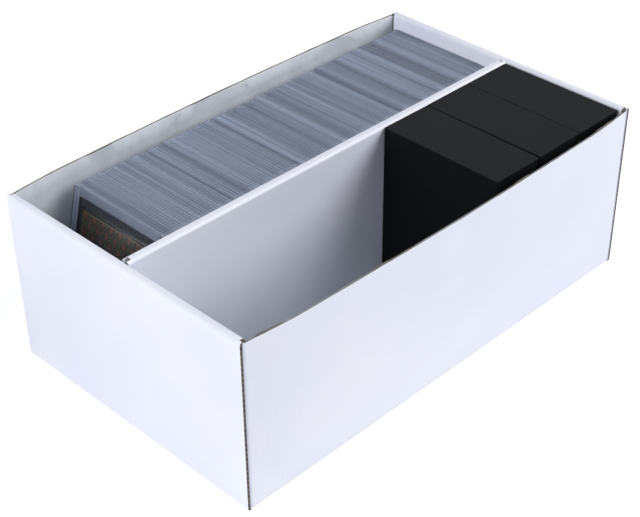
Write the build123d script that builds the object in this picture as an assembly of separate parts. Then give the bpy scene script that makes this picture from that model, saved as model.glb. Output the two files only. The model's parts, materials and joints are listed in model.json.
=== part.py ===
"""Open two-lane cardboard drawer for trading cards, with its divider, a leaning row of rigid
card holders and three lidded cases. Millimetres, +Z up, origin under the middle of the drawer.
+Y runs along the lanes, away from the end where the row of holders starts."""

import math
import os

from build123d import *

os.makedirs("parts", exist_ok=True)

# --- Drawer, folded from one sheet of fluted board -------------------------------------------
DRAWER_LENGTH = 312.0
DRAWER_WIDTH = 186.0
DRAWER_HEIGHT = 110.0
BOARD = 1.6
FOLD_INNER_RADIUS = 0.4
PLY_GAP = 0.15  # air left between plies that lie against each other
SIDE_BELOW_RIM = 1.0  # the cut top edge of a side wall stops this far under the rolled ends
SIDE_FOOT = 6.0  # up to here its fold keeps a side wall straight
SIDE_BOW = 4.6  # how far the middle of its free top edge stands out
SIDE_BOW_SHAPE = ((-1, 0), (-0.9, 0.36), (-0.6, 0.74), (0, 1), (0.6, 0.74), (0.9, 0.36), (1, 0))
CORNER_TAB_LENGTH = 62.0
CORNER_TAB_BELOW_ROLL = 0.9
CORNER_TAB_TAPER = 9.0
CORNER_RELIEF = 0.4  # how far an end wall stops short of the drawer's full width
LOCK_TAB_WIDTH = 36.0
LOCK_TAB_SPACING = 92.0
LOCK_TAB_CLEARANCE = 0.3

# --- Divider between the lanes, one folded strip of the same board ---------------------------
DIVIDER_THICKNESS = 6.2
DIVIDER_OFFSET = 1.3  # it stands this far to +X of the middle
DIVIDER_END_CLEARANCE = 0.3
DIVIDER_VENT_LENGTH = 3.0  # open slot at each end of its rolled top

# --- Cards, and the rigid holders that take them ---------------------------------------------
CARD_WIDTH = 63.5
CARD_HEIGHT = 88.9
CARD_THICKNESS = 0.32
CARD_CORNER_RADIUS = 3.0
SLEEVE_MARGIN = 1.25  # soft sleeve round the front card, on each side
SLEEVE_ABOVE_CARD = 3.6
SLEEVE_FILM = 0.08
SLEEVE_CLEARANCE = 0.06
POCKET_SIDE_GAP = 1.9  # between the soft sleeve and the weld
POCKET_FLOOR_GAP = 0.1
HOLDER_HEIGHT = 101.6
HOLDER_THICKNESS = 1.85
HOLDER_WELD = 3.2  # sealed rim at the two sides and the bottom
HOLDER_SHEET = 0.45
HOLDER_AIR = 0.05  # between one holder and the next
HOLDER_LEAN_DEG = 15.0
HOLDER_SIDE_GAP = 3.4  # from the drawer's side wall
HOLDER_FLOOR_GAP = 0.05
HOLDER_END_GAP = 0.3  # from the far end wall, which the row leans on
ROW_FRONT_GAP = 9.0  # least floor left free in front of the row
PACK_SHARES = (8, 12, 10, 13, 11, 12, 10, 12, 11, 13, 10, 12)  # of the row behind the front holder

# --- Black cases in the other lane -----------------------------------------------------------
CASE_COUNT = 3
CASE_DEPTH = 36.5
CASE_BELOW_RIM = 0.4
CASE_BOARD = 1.2
CASE_LID_CLEARANCE = 0.3
CASE_EDGE_RADIUS = 0.4
CASE_NOTCH_RADIUS = 9.0
CASE_DIVIDER_GAP = 0.4
CASE_WALL_GAP = 2.0
CASE_END_GAP = 2.0
CASE_SPACING = 0.15
LID_ABOVE_FLOOR = 0.3
CASE_SKEW_GAP = 0.3  # extra air behind the first case, which stands a little askew
CASE_SKEW_DEG = 0.55

# --- Worked out from the sizes above ---------------------------------------------------------
FOLD_RADIUS = BOARD + FOLD_INNER_RADIUS
ON_BOARD = BOARD + PLY_GAP  # where a second ply starts, from the first one's outer face
END_THICKNESS = 3 * BOARD + 2 * PLY_GAP
HALF_LENGTH = DRAWER_LENGTH / 2
HALF_WIDTH = DRAWER_WIDTH / 2
SIDE_TOP = DRAWER_HEIGHT - SIDE_BELOW_RIM
SIDE_END_Y = HALF_LENGTH - ON_BOARD - FOLD_RADIUS  # where a side wall starts to bend into its tab
INNER_END_Y = HALF_LENGTH - END_THICKNESS
DIVIDER_LEFT = DIVIDER_OFFSET - DIVIDER_THICKNESS / 2
DIVIDER_RIGHT = DIVIDER_OFFSET + DIVIDER_THICKNESS / 2

POCKET_WIDTH = CARD_WIDTH + 2 * (SLEEVE_MARGIN + POCKET_SIDE_GAP)
POCKET_THICKNESS = HOLDER_THICKNESS - 2 * HOLDER_SHEET
HOLDER_WIDTH = POCKET_WIDTH + 2 * HOLDER_WELD
CARD_BOTTOM = HOLDER_WELD + POCKET_FLOOR_GAP + SLEEVE_FILM + SLEEVE_CLEARANCE
LEAN = math.radians(HOLDER_LEAN_DEG)
ROW_STEP = (HOLDER_THICKNESS + HOLDER_AIR) / math.cos(LEAN)
ROW_REACH = HOLDER_HEIGHT * math.sin(LEAN) + HOLDER_THICKNESS * math.cos(LEAN)
ROW_LAST_Y = INNER_END_Y - HOLDER_END_GAP - ROW_REACH  # lower front edge of the last holder
ROW_BEHIND = int((ROW_LAST_Y + INNER_END_Y - ROW_FRONT_GAP) / ROW_STEP)  # holders behind the front one
PACK_ENDS = [
    round(ROW_BEHIND * sum(PACK_SHARES[:done]) / sum(PACK_SHARES))
    for done in range(len(PACK_SHARES) + 1)
]

CASE_WIDTH = HALF_WIDTH - BOARD - DIVIDER_RIGHT - CASE_DIVIDER_GAP - CASE_WALL_GAP
CASE_HEIGHT = DRAWER_HEIGHT - BOARD - CASE_BELOW_RIM
TRAY_STEP = CASE_BOARD + CASE_LID_CLEARANCE  # from a lid's outer face to its tray's
OVERCUT = 1.0  # how far a cutting block runs past the face that it opens


def save(name, *solids):
    """Write one piece, or a group of like pieces, under its name."""
    group = solids[0] if len(solids) == 1 else Compound(children=list(solids))
    export_step(group, f"parts/{name}.step")
    return group


def block(low, high):
    """A plain block between two corners."""
    size = [b - a for a, b in zip(low, high)]
    return Pos(*low) * Box(*size, align=(Align.MIN, Align.MIN, Align.MIN))


def folded_board(plane, corners, width):
    """Board folded at right angles along its printed face, which runs through corners in the plane.

    The board's thickness lies to the left of the path, and its width is centred on the plane."""
    printed = [Vector(*corner) for corner in corners]
    steps = [(b - a).normalized() for a, b in zip(printed, printed[1:])]
    lefts = [Vector(-step.Y, step.X) * BOARD for step in steps]
    inward = [lefts[0]] + [a + b for a, b in zip(lefts, lefts[1:])] + [lefts[-1]]
    plain = [corner + move for corner, move in zip(printed, inward)]
    outline = [
        FilletPolyline(*printed, radius=FOLD_RADIUS),
        Line(printed[-1], plain[-1]),
        FilletPolyline(*reversed(plain), radius=FOLD_INNER_RADIUS),
        Line(plain[0], printed[0]),
    ]
    return extrude(plane * make_face(outline), width / 2, both=True)


# --- The drawer's sheet ----------------------------------------------------------------------
def end_wall():
    """The end at -Y: up the outside, over the rim and down inside to the floor."""
    inner_face = -HALF_LENGTH + END_THICKNESS
    corners = [
        (inner_face, ON_BOARD),
        (inner_face, DRAWER_HEIGHT),
        (-HALF_LENGTH, DRAWER_HEIGHT),
        (-HALF_LENGTH, 0),
        (-HALF_LENGTH + FOLD_RADIUS + BOARD, 0),
    ]
    wall = folded_board(Plane.YZ, corners, DRAWER_WIDTH - 2 * CORNER_RELIEF)
    # The inner ply and the roll stop short of the side walls, which shows the open end of the roll.
    roll_end = HALF_WIDTH - FOLD_RADIUS - 2 * PLY_GAP
    between_plies = BOARD + PLY_GAP / 2
    opened = block(
        (roll_end, -HALF_LENGTH + between_plies, between_plies),
        (HALF_WIDTH, inner_face + OVERCUT, DRAWER_HEIGHT + OVERCUT),
    )
    # Below its bend the end wall is only as wide as the floor.
    trimmed = block(
        (HALF_WIDTH - FOLD_RADIUS, -HALF_LENGTH + FOLD_RADIUS, -OVERCUT),
        (HALF_WIDTH, inner_face + OVERCUT, between_plies),
    )
    for cut in (opened, trimmed):
        wall = wall - cut - mirror(cut, Plane.YZ)
    for x in (-LOCK_TAB_SPACING / 2, LOCK_TAB_SPACING / 2):
        wall += block(
            (x - LOCK_TAB_WIDTH / 2, inner_face - BOARD, LOCK_TAB_CLEARANCE),
            (x + LOCK_TAB_WIDTH / 2, inner_face, 2 * BOARD),
        )
    return wall


def corner_tab():
    """The tab at -X, -Y, bent round from the side wall and held between the end wall's plies."""
    outer_y = -HALF_LENGTH + ON_BOARD
    tip = -HALF_WIDTH + CORNER_TAB_LENGTH
    corners = [
        (-HALF_WIDTH, BOARD - SIDE_END_Y),
        (-HALF_WIDTH, outer_y),
        (tip, outer_y),
    ]
    height = SIDE_TOP - ON_BOARD
    tab = Pos(0, 0, ON_BOARD + height / 2) * folded_board(Plane.XY, corners, height)
    # The tab's free edges taper, so that it slips between the plies.
    under_roll = DRAWER_HEIGHT - BOARD - CORNER_TAB_BELOW_ROLL
    bend_end = -HALF_WIDTH + FOLD_RADIUS
    tapered = make_face(
        Polyline(
            (bend_end, ON_BOARD),
            (tip, ON_BOARD + CORNER_TAB_TAPER),
            (tip, under_roll - CORNER_TAB_TAPER),
            (bend_end, under_roll),
            close=True,
        )
    )
    beyond_bend = extrude(Plane.XZ * tapered, HALF_LENGTH)
    bend = block((-HALF_WIDTH - OVERCUT, -HALF_LENGTH, 0), (bend_end, 0, DRAWER_HEIGHT))
    return tab & (beyond_bend + bend)


def side_cut(z, bow):
    """A level cut through the side wall at +X, whose middle stands out by bow."""
    end = SIDE_END_Y - BOARD
    printed = [(HALF_WIDTH + bow * out, end * along) for along, out in SIDE_BOW_SHAPE]
    plain = [(x - BOARD, y) for x, y in reversed(printed)]
    outline = [
        Spline(*printed),
        Line(printed[-1], plain[0]),
        Spline(*plain),
        Line(plain[-1], printed[0]),
    ]
    return Pos(0, 0, z) * make_face(outline)


def side_wall():
    """The side wall at +X above its foot: nothing holds its top edge between the corner tabs."""
    return loft([side_cut(SIDE_FOOT, 0), side_cut(SIDE_TOP, SIDE_BOW)], ruled=True)


def drawer_sheet():
    """Floor, side walls, corner tabs and rolled end walls of one cut and folded sheet."""
    corners = [
        (-HALF_WIDTH, SIDE_FOOT),
        (-HALF_WIDTH, 0),
        (HALF_WIDTH, 0),
        (HALF_WIDTH, SIDE_FOOT),
    ]
    trough = folded_board(Plane.XZ, corners, 2 * SIDE_END_Y)
    floor_x = HALF_WIDTH - FOLD_RADIUS
    floor_y = HALF_LENGTH - FOLD_RADIUS
    sheet = trough + block((-floor_x, -floor_y, 0), (floor_x, floor_y, BOARD))
    wall = side_wall()
    sheet += wall + mirror(wall, Plane.YZ)
    # Slots that the lock tabs of the inner plies drop into.
    half_slot = LOCK_TAB_WIDTH / 2 + LOCK_TAB_CLEARANCE
    for x in (-LOCK_TAB_SPACING / 2, LOCK_TAB_SPACING / 2):
        slot = block(
            (x - half_slot, INNER_END_Y - LOCK_TAB_CLEARANCE, -OVERCUT),
            (x + half_slot, INNER_END_Y + BOARD + LOCK_TAB_CLEARANCE, BOARD + OVERCUT),
        )
        sheet = sheet - slot - mirror(slot, Plane.XZ)
    near_end = end_wall()
    tab = corner_tab()
    near_end += tab + mirror(tab, Plane.YZ)
    return sheet + near_end + mirror(near_end, Plane.XZ)


# --- The divider -----------------------------------------------------------------------------
def divider():
    """An inverted U of board that stands on the floor between the two end walls."""
    length = 2 * (INNER_END_Y - DIVIDER_END_CLEARANCE)
    corners = [
        (DIVIDER_RIGHT, BOARD),
        (DIVIDER_RIGHT, DRAWER_HEIGHT),
        (DIVIDER_LEFT, DRAWER_HEIGHT),
        (DIVIDER_LEFT, BOARD),
    ]
    strip = folded_board(Plane.XZ, corners, length)
    hollow = DIVIDER_THICKNESS - 2 * BOARD
    for side in (-1, 1):
        end = side * length / 2
        strip -= Pos(DIVIDER_OFFSET, end, DRAWER_HEIGHT) * Box(
            hollow, 2 * DIVIDER_VENT_LENGTH, 4 * BOARD
        )
    return strip


# --- Card holders and cards ------------------------------------------------------------------
def in_row(place):
    """Where the holder at this place of the row stands: leaning back on its lower rear edge."""
    x = -HALF_WIDTH + BOARD + HOLDER_SIDE_GAP + HOLDER_WIDTH / 2
    y = ROW_LAST_Y - (ROW_BEHIND - place) * ROW_STEP
    z = BOARD + HOLDER_FLOOR_GAP + HOLDER_THICKNESS * math.sin(LEAN)
    return Pos(x, y, z) * Rot(-HOLDER_LEAN_DEG, 0, 0)


def holder():
    """Two stiff sheets welded round three edges, with a pocket that is open at the top."""
    body = Box(
        HOLDER_WIDTH, HOLDER_THICKNESS, HOLDER_HEIGHT, align=(Align.CENTER, Align.MIN, Align.MIN)
    )
    return body - plate(POCKET_WIDTH, HOLDER_HEIGHT, POCKET_THICKNESS, HOLDER_WELD)


def plate(width, height, thickness, z):
    """A thin upright plate at the middle of a holder's thickness."""
    return Pos(0, HOLDER_THICKNESS / 2, z) * Box(
        width, thickness, height, align=(Align.CENTER, Align.CENTER, Align.MIN)
    )


def card():
    """A plain card, as it stands in its holder."""
    return plate(CARD_WIDTH, CARD_HEIGHT, CARD_THICKNESS, CARD_BOTTOM)


def front_card():
    """The one card that shows, with its rounded corners."""
    return fillet(card().edges().filter_by(Axis.Y), CARD_CORNER_RADIUS)


def front_sleeve():
    """The soft sleeve round the front card: two films sealed round three edges."""
    inner = CARD_THICKNESS + 2 * SLEEVE_CLEARANCE
    bottom = CARD_BOTTOM - SLEEVE_CLEARANCE
    height = CARD_HEIGHT + SLEEVE_CLEARANCE + SLEEVE_ABOVE_CARD
    outer = plate(
        CARD_WIDTH + 2 * SLEEVE_MARGIN,
        height + SLEEVE_FILM,
        inner + 2 * SLEEVE_FILM,
        bottom - SLEEVE_FILM,
    )
    return outer - plate(CARD_WIDTH + 2 * SLEEVE_CLEARANCE, height + OVERCUT, inner, bottom)


# --- Cases -----------------------------------------------------------------------------------
def case_place(index):
    """The middle of a case's foot. Case 0 is the nearest to -Y."""
    x = DIVIDER_RIGHT + CASE_DIVIDER_GAP + CASE_WIDTH / 2
    behind = CASE_COUNT - 1 - index
    y = INNER_END_Y - CASE_END_GAP - CASE_DEPTH / 2 - behind * (CASE_DEPTH + CASE_SPACING)
    if index > 0:
        return Pos(x, y, BOARD)
    swing = CASE_WIDTH / 2 * math.sin(math.radians(CASE_SKEW_DEG))
    return Pos(x, y - swing - CASE_SKEW_GAP, BOARD) * Rot(0, 0, -CASE_SKEW_DEG)


def thumb_notch(z, radius):
    """A round cut through both broad walls of a case, centred at this height."""
    return Pos(0, 0, z) * Rot(90, 0, 0) * Cylinder(radius, 2 * CASE_DEPTH)


def case_lid():
    """A full-depth lid that reaches down to the floor, with notches to hold the tray by."""
    outer = Pos(0, 0, LID_ABOVE_FLOOR) * Box(
        CASE_WIDTH,
        CASE_DEPTH,
        CASE_HEIGHT - LID_ABOVE_FLOOR,
        align=(Align.CENTER, Align.CENTER, Align.MIN),
    )
    rounded = outer.edges().filter_by(Axis.Z) + outer.faces().sort_by(Axis.Z)[-1].edges()
    outer = fillet(rounded, CASE_EDGE_RADIUS)
    inner = Box(
        CASE_WIDTH - 2 * CASE_BOARD,
        CASE_DEPTH - 2 * CASE_BOARD,
        CASE_HEIGHT - CASE_BOARD,
        align=(Align.CENTER, Align.CENTER, Align.MIN),
    )
    return outer - inner - thumb_notch(0, CASE_NOTCH_RADIUS)


def case_tray():
    """The open tray inside the lid, with notches at its mouth to reach the cards by."""
    width = CASE_WIDTH - 2 * TRAY_STEP
    depth = CASE_DEPTH - 2 * TRAY_STEP
    height = CASE_HEIGHT - TRAY_STEP
    outer = Box(width, depth, height, align=(Align.CENTER, Align.CENTER, Align.MIN))
    inner = Pos(0, 0, CASE_BOARD) * Box(
        width - 2 * CASE_BOARD,
        depth - 2 * CASE_BOARD,
        height,
        align=(Align.CENTER, Align.CENTER, Align.MIN),
    )
    return outer - inner - thumb_notch(height, CASE_NOTCH_RADIUS)


# --- Write every piece -----------------------------------------------------------------------
save("drawer_sheet", drawer_sheet())
save("divider", divider())

save("front_holder", in_row(0) * holder())
save("front_sleeve", in_row(0) * front_sleeve())
save("front_card", in_row(0) * front_card())
for number, (start, end) in enumerate(zip(PACK_ENDS, PACK_ENDS[1:]), start=1):
    places = [in_row(1 + place) for place in range(start, end)]
    save(f"holder_pack_{number:02d}", *[place * holder() for place in places])
    save(f"card_pack_{number:02d}", *[place * card() for place in places])

for index in range(CASE_COUNT):
    save(f"case_{index + 1}_tray", case_place(index) * case_tray())
    save(f"case_{index + 1}_lid", case_place(index) * case_lid())
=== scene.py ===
"""The open card drawer as it looks: folded white board, a row of clear card holders, black cases.

Everything is in metres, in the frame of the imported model: +Y runs down the lanes and +Z is up. A
name that ends in _MM holds millimetres."""

import json
import math
import random

import bmesh
import bpy
import numpy as np
from mathutils import Matrix, Vector

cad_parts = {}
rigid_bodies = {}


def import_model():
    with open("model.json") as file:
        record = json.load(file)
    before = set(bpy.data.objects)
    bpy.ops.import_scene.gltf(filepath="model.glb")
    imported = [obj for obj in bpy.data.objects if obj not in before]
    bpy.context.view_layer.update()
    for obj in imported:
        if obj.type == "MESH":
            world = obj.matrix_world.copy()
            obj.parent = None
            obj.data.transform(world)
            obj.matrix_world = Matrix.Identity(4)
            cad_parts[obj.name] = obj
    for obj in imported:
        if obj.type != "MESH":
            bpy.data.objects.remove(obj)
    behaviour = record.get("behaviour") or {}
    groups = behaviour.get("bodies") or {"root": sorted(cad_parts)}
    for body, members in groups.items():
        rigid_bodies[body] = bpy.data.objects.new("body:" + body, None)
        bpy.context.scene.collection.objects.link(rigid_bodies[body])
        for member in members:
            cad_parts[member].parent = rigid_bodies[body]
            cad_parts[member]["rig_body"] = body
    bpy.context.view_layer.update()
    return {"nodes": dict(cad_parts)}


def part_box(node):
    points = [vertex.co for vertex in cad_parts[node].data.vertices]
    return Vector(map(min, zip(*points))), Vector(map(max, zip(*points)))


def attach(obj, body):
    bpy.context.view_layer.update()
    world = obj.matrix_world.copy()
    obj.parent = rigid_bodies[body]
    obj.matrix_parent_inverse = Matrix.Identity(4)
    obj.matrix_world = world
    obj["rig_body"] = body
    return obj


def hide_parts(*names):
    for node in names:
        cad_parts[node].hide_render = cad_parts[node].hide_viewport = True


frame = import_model()

# --- Drawer: one sheet of fine-fluted board, white and coated outside, plain grey-white inside ---
# The long sides stand up from the floor with their cut edges bare. The short ends roll over the
# corner tabs and lock into slots in the floor, so their rims show the coated face.
MM = 0.001
BOARD = 1.6 * MM
sheet_low, sheet_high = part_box("drawer_sheet")
SIDE_TOP = sheet_high.z - 1.0 * MM  # cut edge of a long side
SIDE_OUTER = 93.0 * MM  # outer face of a long side at its foot, and at its ends
SIDE_INNER = SIDE_OUTER - BOARD
INNER_PLY = sheet_high.y - 5.1 * MM  # inner face of a rolled end
SLACK = 0.1 * MM  # how far off a place may be when faces and points are told apart
HAIR = 0.01 * MM  # the same, where two faces lie close together
FLUTE = 3.2 * MM  # from one flute of the board to the next
WAVE_HEIGHT = 0.55 * MM  # of the waved paper inside the board, from its middle
WAVE_PAPER = 0.22 * MM  # half of what the waved paper covers at a cut
LINER_FROM = 0.6 * MM  # the two liners begin this far from the board's middle
EDGE_ANGLE = math.radians(28)  # folds softer than this are shaded smooth


class Shade:
    """One socket of a material's nodes. Operators on it add Math nodes, node() adds any other."""

    def __init__(self, tree, socket=None):
        self.tree = tree
        self.socket = socket

    def node(self, kind, settings=None, inputs=None, output=0):
        """A node of this type: its settings come first, then the values or links of its sockets."""
        made = self.tree.nodes.new("ShaderNode" + kind)
        for name, value in (settings or {}).items():
            setattr(made, name, value)
        for name, value in (inputs or {}).items():
            if isinstance(value, Shade):
                self.tree.links.new(value.socket, made.inputs[name])
            else:
                made.inputs[name].default_value = value
        return Shade(self.tree, made.outputs[output])

    def maths(self, operation, *others):
        """A Math node whose first value is this socket."""
        return self.node("Math", {"operation": operation}, dict(enumerate((self, *others))))

    def __add__(self, other):
        return self.maths("ADD", other)

    __radd__ = __add__

    def __sub__(self, other):
        return self.maths("SUBTRACT", other)

    def __rsub__(self, other):
        return self.maths("MULTIPLY_ADD", -1.0, other)

    def __mul__(self, other):
        return self.maths("MULTIPLY", other)

    def __truediv__(self, other):
        return self.maths("DIVIDE", other)

    def __gt__(self, other):
        return self.maths("GREATER_THAN", other)

    def __lt__(self, other):
        return self.maths("LESS_THAN", other)

    def __abs__(self):
        return self.maths("ABSOLUTE")

    def place(self):
        """Where a point lies on the piece at rest, in metres."""
        return self.node("TexCoord", output="Object")

    def axes(self):
        """The three parts of a vector."""
        split = self.node("SeparateXYZ", inputs={0: self}).socket.node
        return [Shade(self.tree, part) for part in split.outputs]

    def stretched(self, x, y, z):
        """A vector with each axis multiplied, as the coordinates of a pattern."""
        return self.node("VectorMath", {"operation": "MULTIPLY"}, {0: self, 1: (x, y, z)})

    def noise(self, scale, detail=2.0, roughness=0.5):
        """Soft noise at this vector, from 0 to 1."""
        values = {"Vector": self, "Scale": scale, "Detail": detail, "Roughness": roughness}
        return self.node("TexNoise", inputs=values)

    def waves(self, length):
        """A sine wave along this distance, from -1 to 1."""
        return (self * (math.tau / length)).maths("SINE")

    def rise(self, low, high):
        """0 below low, 1 above high and smooth between."""
        settings = {"interpolation_type": "SMOOTHSTEP"}
        return self.node("MapRange", settings, {"Value": self, "From Min": low, "From Max": high})

    def mix(self, a, b):
        """Colour a where this mask is 0 and colour b where it is 1."""
        return self.node("Mix", {"data_type": "RGBA"}, {0: self, 6: a, 7: b}, output=2)

    def bump(self, depth):
        """A normal that follows this height, which is depth metres from 0 to 1."""
        return self.node("Bump", inputs={"Height": self, "Distance": depth})


def paint(red, green, blue):
    """A colour as it is seen on a screen, 0 to 255, turned to the numbers that light works with."""
    channels = [value / 255 for value in (red, green, blue)]
    return (*[c / 12.92 if c < 0.04045 else ((c + 0.055) / 1.055) ** 2.4 for c in channels], 1.0)


def material(name, look, **fixed):
    """A material of this name. look() gives what varies over the surface, fixed what doesn't."""
    made = bpy.data.materials.new(name)
    made.use_nodes = True
    surface = made.node_tree.nodes["Principled BSDF"]
    values = {key.replace("_", " "): value for key, value in fixed.items()}
    for socket, value in {**values, **look(Shade(made.node_tree))}.items():
        if isinstance(value, Shade):
            made.node_tree.links.new(value.socket, surface.inputs[socket])
        else:
            surface.inputs[socket].default_value = value
    return made


def coated_board(shade):
    """White clay coating, smooth and varnished, with the flutes showing faintly through it."""
    place = shade.place()
    x, y, _ = place.axes()
    cloud = place.noise(14, 3)
    grain = place.noise(1900)
    swell = place.noise(90)
    height = (x + y).waves(FLUTE) * 0.35 + grain * 0.5 + swell * 1.2
    return {
        "Base Color": cloud.rise(0.3, 0.7).mix(paint(236, 239, 253), paint(242, 245, 255)),
        "Roughness": 0.36 + place.noise(120) * 0.12,
        "Normal": height.bump(0.018 * MM),
    }


def plain_liner(shade):
    """The sheet's uncoated inside: greyer, with warm fibres and flute lines."""
    place = shade.place()
    x, y, _ = place.axes()
    fibres = place.stretched(1, 1, 0.25).noise(700, 3, 0.65)
    mottle = place.noise(60, 4, 0.6)
    tone = mottle.rise(0.32, 0.7).mix(paint(200, 205, 210), paint(213, 218, 225))
    return {
        "Base Color": (fibres.rise(0.6, 0.78) * 0.35).mix(tone, paint(190, 187, 180)),
        "Roughness": 0.8,
        "Normal": ((x + y).waves(FLUTE) * 0.5 + fibres + mottle).bump(0.03 * MM),
    }


def cut_edge(shade):
    """Raw board where the knife went through: two liners and the brown-grey waves between them, with
    painted shade in the open flutes.
    """
    place = shade.place()
    x, y, z = place.axes()
    wave = (y + z).waves(FLUTE) * WAVE_HEIGHT
    across = abs(x) - (SIDE_OUTER - BOARD / 2)
    paper = (abs(across - wave) < WAVE_PAPER) + (abs(across) > LINER_FROM)
    torn = place.noise(260, 4, 0.7)
    # Painted shade: the open flutes, where there is no paper, keep this dark brown-grey, and only the
    # papers are lightened.
    tone = torn.rise(0.35, 0.65).mix(paint(66, 64, 60), paint(104, 99, 90))
    return {
        "Base Color": (paper.maths("MINIMUM", 1.0) * 0.4).mix(tone, paint(158, 153, 140)),
        "Roughness": 0.9,
        "Normal": (paper * 0.6 + torn).bump(0.2 * MM),
    }


WHITE_BOARD = material("white_coated_board", coated_board, Specular_IOR_Level=0.42)
INNER_BOARD = material("plain_inner_liner", plain_liner, Specular_IOR_Level=0.2)
RAW_BOARD = material("raw_cut_board", cut_edge, Specular_IOR_Level=0.1)


def welded(node):
    """A CAD node's mesh as one closed form, its flat faces whole again."""
    same_point, still_flat = 0.002 * MM, math.radians(0.2)
    form = bmesh.new()
    form.from_mesh(frame["nodes"][node].data)
    bmesh.ops.remove_doubles(form, verts=form.verts, dist=same_point)
    bmesh.ops.dissolve_limit(form, angle_limit=still_flat, verts=form.verts, edges=form.edges)
    return form


def cut_across(form, axis, places, region=lambda face: True):
    """Cuts the faces of a region at these places along an axis, so that they can bend."""
    on_plane = 0.001 * MM
    normal = Vector([float(i == axis) for i in range(3)])
    for place in places:
        faces = [face for face in form.faces if region(face)]
        edges = dict.fromkeys(edge for face in faces for edge in face.edges)
        verts = dict.fromkeys(vert for face in faces for vert in face.verts)
        bmesh.ops.bisect_plane(
            form, geom=[*verts, *edges, *faces], plane_co=normal * place, plane_no=normal, dist=on_plane
        )


def steps(low, high, step):
    """Even places between two ends, both left out."""
    count = max(1, round((high - low) / step))
    return [low + (high - low) * i / count for i in range(1, count)]


def piece(name, form, body, nodes, materials):
    """Makes an object of a form, with soft folds shaded smooth, that stands for CAD nodes."""
    for face in form.faces:
        face.smooth = True
    for edge in form.edges:
        edge.smooth = len(edge.link_faces) == 2 and edge.calc_face_angle() < EDGE_ANGLE
    mesh = bpy.data.meshes.new(name)
    form.to_mesh(mesh)
    form.free()
    made = bpy.data.objects.new(name, mesh)
    bpy.context.scene.collection.objects.link(made)
    for finish in materials:
        mesh.materials.append(finish)
    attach(made, body)
    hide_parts(*nodes)
    return made


def wander(place, scale, seed):
    """Smooth random drift from about -1 to 1 along a line: three waves, the finer ones weaker."""
    waves = [math.sin(place * scale * k + seed * (3.1 + 1.7 * k)) / k for k in (1, 2.3, 3.7)]
    return sum(waves) / 1.4


def rough_cut(place, seed):
    """How pinched the cut edge is: 1 where the knife crushed it, 0 where the flutes stand open."""
    return min(1.0, max(0.0, 1.6 + 2.2 * wander(place, 71, seed)))


def on_long_side(face):
    """Whether a face lies on a long side."""
    middle = face.calc_center_median()
    return abs(middle.x) > SIDE_INNER - HAIR and abs(middle.y) < sheet_high.y - BOARD - SLACK


CRUSHED = 0.8 * MM  # how far down from its cut edge a long side is bent by the knife


def at_cut_edge(face):
    """Whether a face lies along the cut edge of a long side, between the rolled ends."""
    middle = face.calc_center_median()
    near_top = middle.z > SIDE_TOP - CRUSHED - SLACK
    return on_long_side(face) and near_top and abs(middle.y) < INNER_PLY


drawer = welded("drawer_sheet")
for axis in range(3):
    cut_across(drawer, axis, steps(sheet_low[axis], sheet_high[axis], 9 * MM))
cut_across(drawer, 2, [SIDE_TOP - CRUSHED], on_long_side)
cut_across(drawer, 1, steps(-INNER_PLY, INNER_PLY, 1.2 * MM), at_cut_edge)
drawer.normal_update()

PLAIN, RAW = 1, 2  # finishes in the order of the sheet's materials, after 0 for the coated face
FLOOR_LEVEL = 3 * MM  # the floor's upper face lies below this
lining = set()
for face in drawer.faces:
    middle, normal = face.calc_center_median(), face.normal
    outward = normal.x * math.copysign(1, middle.x)
    between_ends = abs(middle.y) < INNER_PLY - SLACK
    roll_end = abs(outward) > 0.95 and not between_ends and abs(middle.x) < SIDE_OUTER - 2 * SLACK
    knife_face = on_long_side(face) and normal.z > 0.9 and middle.z > SIDE_TOP - SLACK
    if knife_face or roll_end:
        face.material_index = RAW
    elif between_ends and (outward < -0.5 or normal.z > 0.2 and middle.z < FLOOR_LEVEL):
        face.material_index = PLAIN
        lining.add(face)

PINCH = 0.75 * MM  # how far a crushed edge is pressed together
# The knife crushed the cut edge here and there, and left the flutes open elsewhere.
for vert in drawer.verts:
    x, y, z = vert.co
    if abs(x) > SIDE_INNER - HAIR and z > SIDE_TOP - SLACK and abs(y) < INNER_PLY:
        side = math.copysign(1, x)
        seed = 2 + side
        if lining.isdisjoint(vert.link_faces):
            vert.co.z -= (0.12 + 0.1 * wander(y, 160, seed)) * MM
        else:
            crushed = rough_cut(y, seed)
            vert.co.x += side * crushed * PINCH
            vert.co.z -= (0.1 + 0.25 * crushed) * MM
piece("drawer", drawer, "drawer", ["drawer_sheet"],
      [WHITE_BOARD, INNER_BOARD, RAW_BOARD])

# --- Divider: a strip of the same board, folded over itself into a thin wall between the lanes ---
# It stands on the floor between the two ends, and its rolled top is open at each end.
WARP = 0.14 * MM  # how far its top wavers from a straight line
divider_low, divider_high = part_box("divider")
divider = welded("divider")
cut_across(divider, 1, steps(divider_low.y, divider_high.y, 8 * MM))
cut_across(divider, 2, steps(divider_low.z, divider_high.z, 10 * MM))
divider.normal_update()
for face in divider.faces:
    face.material_index = int(abs(face.normal.y) > 0.9 or face.normal.z < -0.9)
for vert in divider.verts:
    _, y, z = vert.co
    freedom = (z / divider_high.z) * (1 - (y / divider_high.y) ** 2)
    vert.co.x += WARP * wander(y, 23, 5) * freedom
piece("lane_divider", divider, "divider", ["divider"], [WHITE_BOARD, RAW_BOARD])

# --- Front holder: two clear stiff sheets welded round three edges, with a pocket for one card ---
# It is the first of a row that leans back on the far end wall. Years of use have left the plastic
# faintly hazy and scratched.
LEAN = math.radians(15)
HOLDER_MM = (76.2, 101.6, 1.85)  # width, height, thickness
WELD_MM = 3.2
FILM_MM = 0.45
CORNER_MM = 1.3
ROW_STEP = 1.9 * MM / math.cos(LEAN)  # along the floor, from one holder of the row to the next
MAP_MM = 100  # what the flat map of a holder or card spans
GROUPS, SINGLES, DARK_LINES = 95.0, 530.0, 61.0  # changes of tint in a metre of the row


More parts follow.
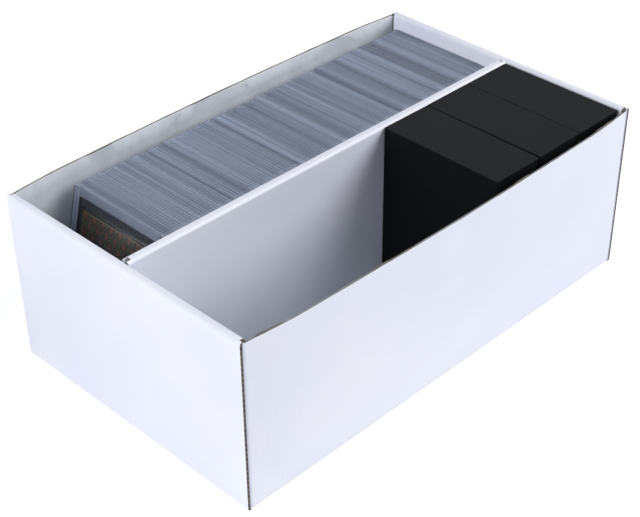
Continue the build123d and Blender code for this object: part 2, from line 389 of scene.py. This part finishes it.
def pouch(size, rim, foot, film, corner):
    """A flat pocket that is open at the top, as one closed form in millimetres."""
    width, height, thickness = size
    outer = [(x, y, z) for z in (0, height) for y in (0, thickness) for x in (-width / 2, width / 2)]
    half = width / 2 - rim
    inner = [(x, y, z) for z in (foot, height) for y in (film, thickness - film) for x in (-half, half)]
    form = bmesh.new()
    verts = [form.verts.new(point) for point in outer + inner]
    outside = [(0, 1, 5, 4), (3, 2, 6, 7), (2, 0, 4, 6), (1, 3, 7, 5), (0, 2, 3, 1)]
    mouth = [(4, 5, 13, 12), (5, 7, 15, 13), (7, 6, 14, 15), (6, 4, 12, 14)]
    pocket = [(9, 8, 12, 13), (10, 11, 15, 14), (8, 10, 14, 12), (11, 9, 13, 15), (8, 9, 11, 10)]
    for corners in outside + mouth + pocket:
        form.faces.new([verts[i] for i in corners])
    across = [form.edges.get((verts[a], verts[a + 2])) for a in (0, 1, 4, 5)]
    bmesh.ops.bevel(form, geom=across, offset=corner, segments=3, profile=0.5, affect="EDGES")
    form.normal_update()
    for face in form.faces:
        face.material_index = int(abs(face.normal.y) < 0.9)  # 0 for a broad face, 1 for the rim
    return form


def as_arrays(form):
    """A form's points and faces, each face with its finish, to be set down many times."""
    form.verts.index_update()
    points = np.array([vert.co for vert in form.verts])
    faces = [([vert.index for vert in face.verts], face.material_index) for face in form.faces]
    form.free()
    return points, faces


def leaning(foot, shift=(0, 0, 0)):
    """The place of a holder whose lower front edge is at foot, shifted in its own plane."""
    tilt = Matrix.Rotation(-LEAN, 4, "X")
    return Matrix.Translation(foot) @ tilt @ Matrix.Translation(Vector(shift) * MM) @ Matrix.Scale(MM, 4)


def set_down(name, template, places, body, nodes, materials):
    """One object with a copy of the template at each place, with its flat coordinates as a map."""
    points, faces = template
    full = np.hstack([points, np.ones((len(points), 1))])
    form = bmesh.new()
    flat = form.loops.layers.uv.new("flat")
    for place in places:
        moved = full @ np.array(place).T
        verts = [form.verts.new(point[:3]) for point in moved]
        for corners, finish in faces:
            face = form.faces.new([verts[i] for i in corners])
            face.material_index = finish
            for loop, i in zip(face.loops, corners):
                loop[flat].uv = points[i, 0] / MAP_MM + 0.5, points[i, 2] / MAP_MM
    return piece(name, form, body, nodes, materials)


def row_feet(node):
    """The lower front edge of each holder in a node."""
    low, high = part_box(node)
    _, height, thickness = [size * MM for size in HOLDER_MM]
    reach = height * math.sin(LEAN) + thickness * math.cos(LEAN)
    count = round((high.y - low.y - reach) / ROW_STEP) + 1
    x, z = (low.x + high.x) / 2, low.z + thickness * math.sin(LEAN)
    return [Vector((x, low.y + i * ROW_STEP, z)) for i in range(count)]


def row_tint(shade):
    """How light the row is at a point, 0 to 1: it changes from holder to holder, in soft groups."""
    x, y, z = shade.place().axes()
    through = y * math.cos(LEAN) - z * math.sin(LEAN)  # distance through the row
    wide = shade.node("CombineXYZ", inputs={0: x * 1.5, 1: through * GROUPS, 2: 0.0})
    fine = shade.node("CombineXYZ", inputs={0: x * 3.0, 1: through * SINGLES, 2: 4.0})
    groups = wide.noise(1, 2, 0.6).rise(0.32, 0.68)
    single = fine.noise(1, 1).rise(0.25, 0.75)
    dark = (through * DARK_LINES + 0.37).maths("FRACT") < 0.06
    return groups * 0.76 + single * 0.24 - dark * 0.5


def scratches(shade):
    """Fine scratches that run up and down a sheet, from 0 to 1."""
    return shade.place().stretched(6, 1, 1).noise(420, 4, 0.75)


def front_sheet(shade):
    """The front holder's broad face, clear enough to read the card through it."""
    scratch = scratches(shade)
    return {"Alpha": 0.04 + scratch.rise(0.55, 0.8) * 0.05, "Roughness": 0.12 + scratch * 0.15}


def sheet_rim(shade):
    """The welded rim and the cut mouth, hazier than the broad faces, with a painted highlight where
    light is caught in the plastic.
    """
    tint = row_tint(shade)
    return {
        "Base Color": tint.mix(paint(146, 154, 172), paint(190, 201, 224)),
        "Alpha": 0.66 + tint * 0.1,
        "Roughness": 0.35,
    }


FRONT_FILM = material("front_clear_film", front_sheet, Base_Color=paint(128, 136, 152), IOR=1.5)
FRONT_RIM = material("front_film_rim", sheet_rim, IOR=1.5, Specular_IOR_Level=0.6)
HOLDER = as_arrays(pouch(HOLDER_MM, WELD_MM, WELD_MM, FILM_MM, CORNER_MM))
front_foot = row_feet("front_holder")[0]
set_down("front_clear_holder", HOLDER, [leaning(front_foot)], "front_holder", ["front_holder"],
         [FRONT_FILM, FRONT_RIM])

# --- Front card: the one card whose face shows, with a plain trellis in a frame -----------------
# The pattern is laid out in millimetres on the card's flat map. The cards in the holders behind it
# have the same one.
CARD_MM = (63.5, 88.9, 0.32)
CARD_CORNER_MM = 3.0
CARD_FOOT_MM = 3.44  # from the holder's foot to the card's
LOZENGE_MM = (7.5, 10.5)
FRAME_LINE_MM = (3.1, 3.5)  # in from the card's edge
FIELD_MM = 3.6


def card_blank(size, corner):
    """A card with rounded corners, in millimetres, standing on its short edge."""
    width, height, thickness = size
    form = bmesh.new()
    bmesh.ops.create_cube(form, size=1)
    for vert in form.verts:
        vert.co = (vert.co.x * width, vert.co.y * thickness, (vert.co.z + 0.5) * height)
    ends = [(edge, *[vert.co.y for vert in edge.verts]) for edge in form.edges]
    through = [edge for edge, start, end in ends if abs(start - end) > thickness / 2]
    bmesh.ops.bevel(form, geom=through, offset=corner, segments=5, profile=0.5, affect="EDGES")
    return form


def card_print(shade):
    """A plain trellis of small lozenges inside a thin frame line, on a dark ground."""
    u, v, _ = shade.node("UVMap", {"uv_map": "flat"}).axes()
    across, up = (u - 0.5) * MAP_MM, v * MAP_MM
    width, height, _ = CARD_MM
    inset = (width / 2 - abs(across)).maths("MINIMUM", height / 2 - abs(up - height / 2))
    field = inset > FIELD_MM
    line = (inset > FRAME_LINE_MM[0]) * (inset < FRAME_LINE_MM[1])
    wide, tall = LOZENGE_MM
    rising = (across / wide + up / tall).maths("PINGPONG", 0.5)
    falling = (across / wide - up / tall).maths("PINGPONG", 0.5)
    near = rising.maths("MINIMUM", falling)  # 0 on the trellis, 0.5 in the middle of a lozenge
    soft = shade.place().noise(60, 3).rise(0.3, 0.7)
    tone = field.mix(paint(20, 22, 26), soft.mix(paint(30, 36, 32), paint(56, 56, 38)))
    tone = ((near < 0.03) * field * 0.7).mix(tone, paint(104, 98, 52))
    tone = ((near > 0.3) * field * 0.9).mix(tone, paint(140, 62, 34))
    tone = ((near > 0.42) * field * 0.9).mix(tone, paint(48, 84, 92))
    return {"Base Color": (line * 0.9).mix(tone, paint(158, 146, 84)), "Roughness": 0.42}


CARD_FACE = material("printed_card", card_print, Coat_Weight=0.15)
CARD = as_arrays(card_blank(CARD_MM, CARD_CORNER_MM))
card_in = (0, HOLDER_MM[2] / 2, CARD_FOOT_MM)
set_down("front_printed_card", CARD, [leaning(front_foot, card_in)], "front_card", ["front_card"],
         [CARD_FACE])

# --- Soft sleeve: a second, thinner pouch round the front card, clear in front and dark behind ---
# It moves with its card, and stands a little above the card's top edge.
SLEEVE_MM = (66.0, 92.64, 0.6)
SLEEVE_WELD_MM = 1.19
SLEEVE_FILM_MM = 0.08
SLEEVE_CORNER_MM = 0.6
SLEEVE_DROP_MM = 0.14  # from the card's foot down to the sleeve's


def wrinkles(shade):
    """Soft wrinkles that lie across the sleeve, from 0 to 1."""
    return shade.place().stretched(1, 1, 3).noise(110, 3)


def soft_sleeve(shade):
    """Matt dark film with a fine grain, wrinkled a little."""
    wrinkle = wrinkles(shade)
    return {
        "Base Color": wrinkle.rise(0.3, 0.7).mix(paint(13, 15, 24), paint(24, 27, 38)),
        "Roughness": 0.4 + wrinkle * 0.2,
        "Normal": (wrinkle * 3 + shade.place().noise(1500)).bump(0.04 * MM),
    }


def sleeve_front(shade):
    """The same sleeve's clear side, which the card shows through."""
    wrinkle = wrinkles(shade)
    return {"Alpha": 0.03 + wrinkle.rise(0.5, 0.8) * 0.04, "Roughness": 0.2 + wrinkle * 0.2}


DARK_SLEEVE = material("dark_soft_sleeve", soft_sleeve)
CLEAR_SLEEVE = material("clear_sleeve_front", sleeve_front, Base_Color=paint(104, 112, 126))
sleeve = as_arrays(
    pouch(SLEEVE_MM, SLEEVE_WELD_MM, SLEEVE_FILM_MM, SLEEVE_FILM_MM, SLEEVE_CORNER_MM)
)
sleeve_in = (0, HOLDER_MM[2] / 2 - SLEEVE_MM[2] / 2, CARD_FOOT_MM - SLEEVE_DROP_MM)
sleeve_piece = set_down("front_soft_sleeve", sleeve, [leaning(front_foot, sleeve_in)], "front_card",
                        ["front_sleeve"], [DARK_SLEEVE, CLEAR_SLEEVE])
facing = Vector((0, -math.cos(LEAN), math.sin(LEAN)))
for face in sleeve_piece.data.polygons:
    depth = -facing.dot(Vector(face.center) - front_foot)  # into the holder
    broad = abs(facing.dot(face.normal)) > 0.9
    face.material_index = int(broad and depth < HOLDER_MM[2] / 2 * MM)

# --- Packs: the other holders of the row with their cards, in the groups that move together ------
# No two holders stand at quite the same height or place, and no two cards lie alike in them.
HOLDER_SLIP_MM = 0.4  # to either side
HOLDER_RISE_MM = 0.5
CARD_SLIP_MM = 1.0  # to either side, in its holder


def clear_sheet(shade):
    """A broad face of clear plastic, gone a little hazy, with fine scratches."""
    tint = row_tint(shade)
    scratch = scratches(shade)
    return {
        "Base Color": tint.mix(paint(140, 148, 166), paint(188, 199, 222)),
        "Alpha": 0.5 + tint * 0.1 + scratch.rise(0.6, 0.8) * 0.06,
        "Roughness": 0.2 + scratch * 0.2,
    }


CLEAR_FILM = material("clear_stiff_film", clear_sheet, IOR=1.5, Specular_IOR_Level=0.35)
# The rims carry the painted highlight of sheet_rim.
FILM_RIM = material("hazy_film_rim_painted_highlight", sheet_rim, IOR=1.5, Specular_IOR_Level=0.4)
chance = random.Random(4)
for node in sorted(name for name in frame["nodes"] if name.startswith("holder_pack_")):
    number = node.rsplit("_", 1)[1]
    body = frame["nodes"][node]["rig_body"]
    feet = row_feet(node)
    slips = [
        (chance.uniform(-HOLDER_SLIP_MM, HOLDER_SLIP_MM), 0, chance.random() ** 2 * HOLDER_RISE_MM)
        for _ in feet
    ]
    holders = [leaning(foot, slip) for foot, slip in zip(feet, slips)]
    set_down("holders_" + number, HOLDER, holders, body, [node],
             [CLEAR_FILM, FILM_RIM])
    cards = []
    for foot, (aside, _, up) in zip(feet, slips):
        aside += chance.uniform(-CARD_SLIP_MM, CARD_SLIP_MM)
        cards.append(leaning(foot, (aside, card_in[1], up + card_in[2])))
    set_down("cards_" + number, CARD, cards, body, ["card_pack_" + number],
             [CARD_FACE])

# --- Black cases: stiff board boxes wrapped in matt black paper, each under a full-depth lid -----
# The wrap is turned in at the edges, so these are only slightly rounded. It is rubbed here and there.


def black_wrap(shade):
    """Matt black paper with a fine tooth, rubbed here and there by hands; its tops are greyer with a
    painted sheen of the light from above.
    """
    place = shade.place()
    tooth = place.noise(2600, 3, 0.6)
    rub = place.noise(35, 4, 0.6)
    spots = place.noise(240, 3, 0.6).rise(0.72, 0.78) * rub.rise(0.55, 0.62)
    painted_top_sheen = shade.node("NewGeometry", output="Normal").axes()[2].rise(0.6, 0.9)
    tone = rub.rise(0.3, 0.75).mix(paint(5, 6, 8), paint(8, 9, 11))
    # Painted sheen: faces that point up are mixed towards a lighter, bluer grey, as light from above
    # would show them.
    tone = (painted_top_sheen * 0.8).mix(tone, rub.rise(0.25, 0.7).mix(paint(6, 9, 12), paint(11, 14, 19)))
    return {
        "Base Color": (spots * 0.5).mix(tone, paint(92, 84, 66)),
        "Roughness": 0.5 + rub * 0.14,
        "Normal": (tooth + rub * 2).bump(0.03 * MM),
    }


def tray_board(shade):
    """Bare black board of the tray inside, with coarse fibres."""
    fibres = shade.place().noise(900, 4, 0.7)
    return {
        "Base Color": fibres.rise(0.35, 0.75).mix(paint(17, 18, 20), paint(30, 31, 33)),
        "Roughness": 0.82,
        "Normal": fibres.bump(0.04 * MM),
    }


BLACK_WRAP = material("matt_black_wrap", black_wrap, Specular_IOR_Level=0.1)
BLACK_BOARD = material("bare_black_board", tray_board, Specular_IOR_Level=0.2)
for name, node in frame["nodes"].items():
    if name.startswith("case_"):
        node.data.materials.clear()
        node.data.materials.append(BLACK_BOARD if name.endswith("tray") else BLACK_WRAP)

# --- Studio: a white table, two soft boxes and a dim room, seen from the photograph's own place --
# The camera and its lens are fitted to the drawer's corners in the photograph. The room lights the
# drawer only a little, and looks white to the camera and in what reflects it.
PHOTO = (640, 517)
FOCAL_PX = 1482.5
CENTRE_PX = (336.9, 296.9)
AZIMUTH, ELEVATION, ROLL = 44.36, 36.63, 0.158  # degrees
CAMERA = (0.50556, -0.51300, 0.54161)
LIGHT_HEIGHT = math.radians(35)  # above the table
LIGHT_DISTANCE = 2.0
LIGHT_SIZE = 1.3
ROOM_LIGHT = (0.085, 0.087, 0.1, 1.0)
TABLE_REACH = 4.0  # from its middle to an edge

lens = bpy.data.cameras.new("camera")
lens.sensor_width = 36.0
lens.lens = FOCAL_PX / PHOTO[0] * lens.sensor_width
lens.shift_x = -(CENTRE_PX[0] - PHOTO[0] / 2) / PHOTO[0]
lens.shift_y = (CENTRE_PX[1] - PHOTO[1] / 2) / PHOTO[0]
lens.clip_start, lens.clip_end = 0.01, 50
camera = bpy.data.objects.new("camera", lens)
camera.location = CAMERA
turn = Matrix.Rotation(math.radians(AZIMUTH), 4, "Z")
tip = Matrix.Rotation(math.radians(90 - ELEVATION), 4, "X")
camera.rotation_euler = (turn @ tip @ Matrix.Rotation(math.radians(-ROLL), 4, "Z")).to_euler()
bpy.context.scene.collection.objects.link(camera)
bpy.context.scene.camera = camera


def soft_box(name, heading, power):
    """A soft square light that faces the drawer. Heading 0 stands at +X, 90 at +Y."""
    lamp = bpy.data.lights.new(name, "AREA")
    lamp.size, lamp.energy = LIGHT_SIZE, power
    level, angle = math.cos(LIGHT_HEIGHT), math.radians(heading)
    toward = Vector((math.cos(angle) * level, math.sin(angle) * level, math.sin(LIGHT_HEIGHT)))
    made = bpy.data.objects.new(name, lamp)
    made.location = toward * LIGHT_DISTANCE
    made.rotation_euler = (-toward).to_track_quat("-Z", "Y").to_euler()
    bpy.context.scene.collection.objects.link(made)


soft_box("near_end_light", 270, 28.0)
soft_box("side_light", 45, 30.5)


def grey(strength):
    """A neutral colour, in the numbers that light works with."""
    return (strength, strength, strength, 1.0)


bpy.context.scene.world = world = bpy.data.worlds.new("room")
world.use_nodes = True
room = Shade(world.node_tree)
by_camera, by_gloss, through_film = [
    room.node("LightPath", output=f"Is {kind} Ray") for kind in ("Camera", "Glossy", "Transmission")
]
seen = by_camera.maths("MAXIMUM", by_gloss).maths("MAXIMUM", through_film)
background = world.node_tree.nodes["Background"]
world.node_tree.links.new(seen.mix(ROOM_LIGHT, grey(1)).socket, background.inputs["Color"])


def table_paper(shade):
    """Seamless white paper that reads as white to the camera and still takes a shadow."""
    glow = shade.node("LightPath", output="Is Camera Ray")
    return {"Emission Color": glow.mix(grey(0), grey(0.5))}


SEAMLESS_PAPER = material("seamless_paper", table_paper, Base_Color=grey(0.9), Roughness=0.9,
                          Specular_IOR_Level=0.0, Emission_Strength=1.0)
table = bmesh.new()
bmesh.ops.create_grid(table, x_segments=2, y_segments=2, size=TABLE_REACH)
table_mesh = bpy.data.meshes.new("table")
table.to_mesh(table_mesh)
table.free()
table_mesh.materials.append(SEAMLESS_PAPER)
table_top = bpy.data.objects.new("table", table_mesh)
bpy.context.scene.collection.objects.link(table_top)

bpy.context.scene.view_settings.view_transform = "Standard"
